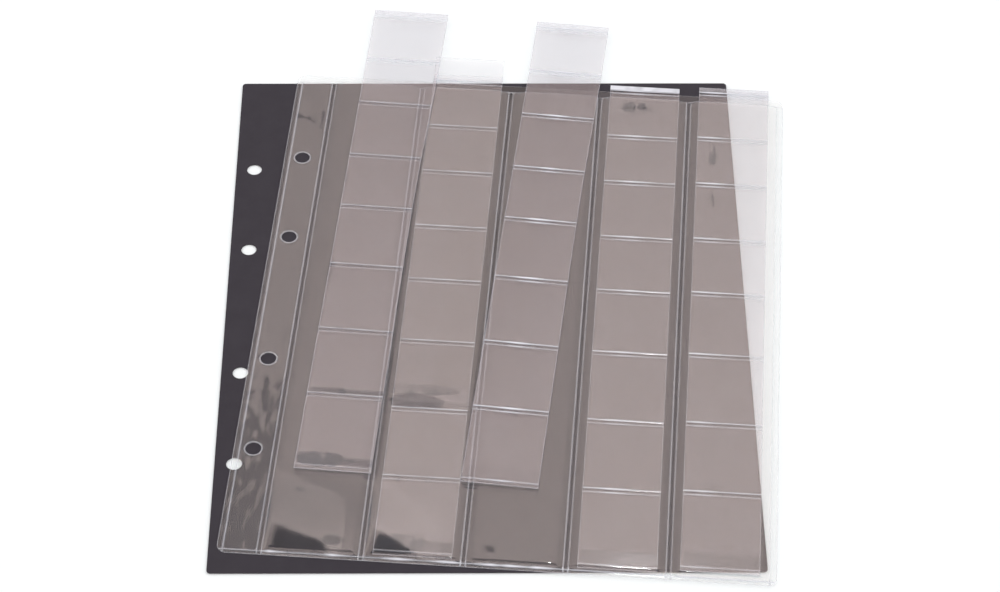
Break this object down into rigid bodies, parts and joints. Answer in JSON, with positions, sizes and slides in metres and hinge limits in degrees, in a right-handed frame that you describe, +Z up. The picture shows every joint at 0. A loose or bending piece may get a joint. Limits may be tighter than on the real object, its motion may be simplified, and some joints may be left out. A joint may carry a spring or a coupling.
{
  "type": "coin album page",
  "caption": "Clear ring-binder coin page with column pockets, sliding strips of graded coin pockets and a black card interleaf; some strips lie taken out across it.",
  "frame": {"origin": "middle of the card's underside, on the surface that everything lies on", "axes": "+Z up out of the sheets, +Y along the page's columns towards their open ends, +X across the page away from its binding edge"},
  "size_m": [0.2251, 0.3039, 0.0031],
  "materials": {
    "card": "matte charcoal black card",
    "page_film": "glossy clear soft plastic film",
    "strip_film": "glossy clear plastic film, slightly smudged"
  },
  "bodies": {
    "card": {"card": "card"},
    "page": {"page_back_film": "page_film", "page_front_film": "page_film"},
    "strip_1": {"strip_1_back_film": "strip_film", "strip_1_front_film": "strip_film"},
    "strip_2": {"strip_2_back_film": "strip_film", "strip_2_front_film": "strip_film"},
    "strip_3": {"strip_3_back_film": "strip_film", "strip_3_front_film": "strip_film"},
    "strip_4": {"strip_4_back_film": "strip_film", "strip_4_front_film": "strip_film"},
    "strip_5": {"strip_5_back_film": "strip_film", "strip_5_front_film": "strip_film"}
  },
  "joints": [
    {"name": "page_lift", "type": "slide", "parent": "card", "child": "page", "axis": [0, 0, 1], "range_m": [0, 0.15]},
    {"name": "strip_1_lift", "type": "slide", "parent": "page", "child": "strip_1", "axis": [0, 0, 1], "range_m": [0, 0.1]},
    {"name": "strip_3_lift", "type": "slide", "parent": "page", "child": "strip_3", "axis": [0, 0, 1], "range_m": [0, 0.1]},
    {"name": "strip_2_pull", "type": "slide", "parent": "page", "child": "strip_2", "axis": [0, 1, 0], "range_m": [0, 0.26]},
    {"name": "strip_4_pull", "type": "slide", "parent": "page", "child": "strip_4", "axis": [0, 1, 0], "range_m": [0, 0.26]},
    {"name": "strip_5_pull", "type": "slide", "parent": "page", "child": "strip_5", "axis": [0, 1, 0], "range_m": [0, 0.26]}
  ]
}
